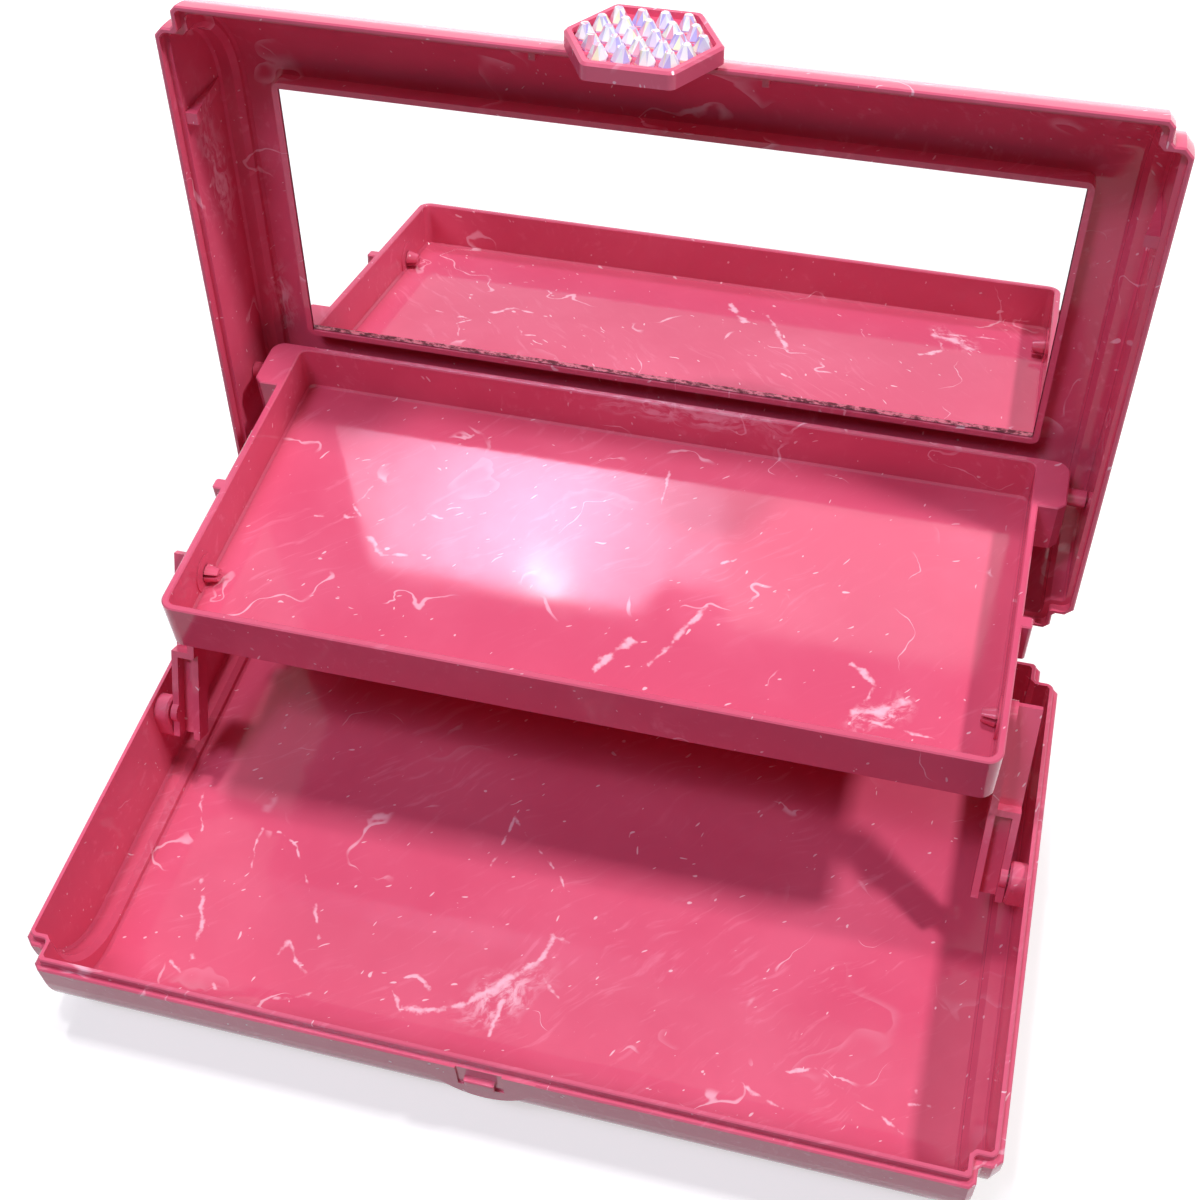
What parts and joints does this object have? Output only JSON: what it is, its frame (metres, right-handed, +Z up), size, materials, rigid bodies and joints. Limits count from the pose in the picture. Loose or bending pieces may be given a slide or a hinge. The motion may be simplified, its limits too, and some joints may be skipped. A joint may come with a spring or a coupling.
{
  "type": "makeup case",
  "caption": "Clamshell makeup case in marbled gloss plastic with a mirror in the lid, a tray that swings up on arms as the lid opens, and a stone-set hexagonal latch.",
  "frame": {"origin": "middle of the underside of the base shell, on the surface that the case stands on", "axes": "+X to the user's right, +Y to the back where the hinges are, +Z up"},
  "size_m": [0.24, 0.2011, 0.193],
  "materials": {
    "pink_plastic": "coral pink with pale marbling, polished moulding",
    "crystal": "foil-backed cut stones with an iridescent coat",
    "mirror": "silvered flat glass",
    "foam": "white double-sided foam tape",
    "steel": "plain drawn wire"
  },
  "bodies": {
    "base": {"base_shell": "pink_plastic", "left_hinge_pin": "steel", "right_hinge_pin": "steel"},
    "lid": {"lid_shell": "pink_plastic", "mirror": "mirror", "mirror_pads": "foam"},
    "tray": {"tray": "pink_plastic"},
    "left_arm": {"left_arm": "pink_plastic"},
    "right_arm": {"right_arm": "pink_plastic"},
    "latch": {"latch": "pink_plastic", "latch_stones": "crystal"}
  },
  "joints": [
    {"name": "lid_hinge", "type": "hinge", "parent": "base", "child": "lid", "pos_m": [0, 0.0808, 0.0308], "axis": [1, 0, 0], "range_deg": [0, 97.6]},
    {"name": "left_arm_pivot", "type": "hinge", "parent": "base", "child": "left_arm", "pos_m": [-0.1155, 0.0083, 0.0271], "axis": [1, 0, 0], "range_deg": [0, 97.6]},
    {"name": "right_arm_pivot", "type": "hinge", "parent": "base", "child": "right_arm", "pos_m": [0.1155, 0.0083, 0.0271], "axis": [1, 0, 0], "range_deg": [0, 97.6]},
    {"name": "tray_pivot", "type": "hinge", "parent": "lid", "child": "tray", "pos_m": [0, 0.10047, 0.06934], "axis": [1, 0, 0], "range_deg": [-97.6, 0]},
    {"name": "latch_hinge", "type": "hinge", "parent": "lid", "child": "latch", "pos_m": [0, 0.11054, 0.1826], "axis": [-1, 0, 0], "range_deg": [0, 45]}
  ],
  "couplings": [
    {"joint": "left_arm_pivot", "follows": "lid_hinge", "ratio": 1},
    {"joint": "right_arm_pivot", "follows": "lid_hinge", "ratio": 1},
    {"joint": "tray_pivot", "follows": "lid_hinge", "ratio": -1}
  ]
}
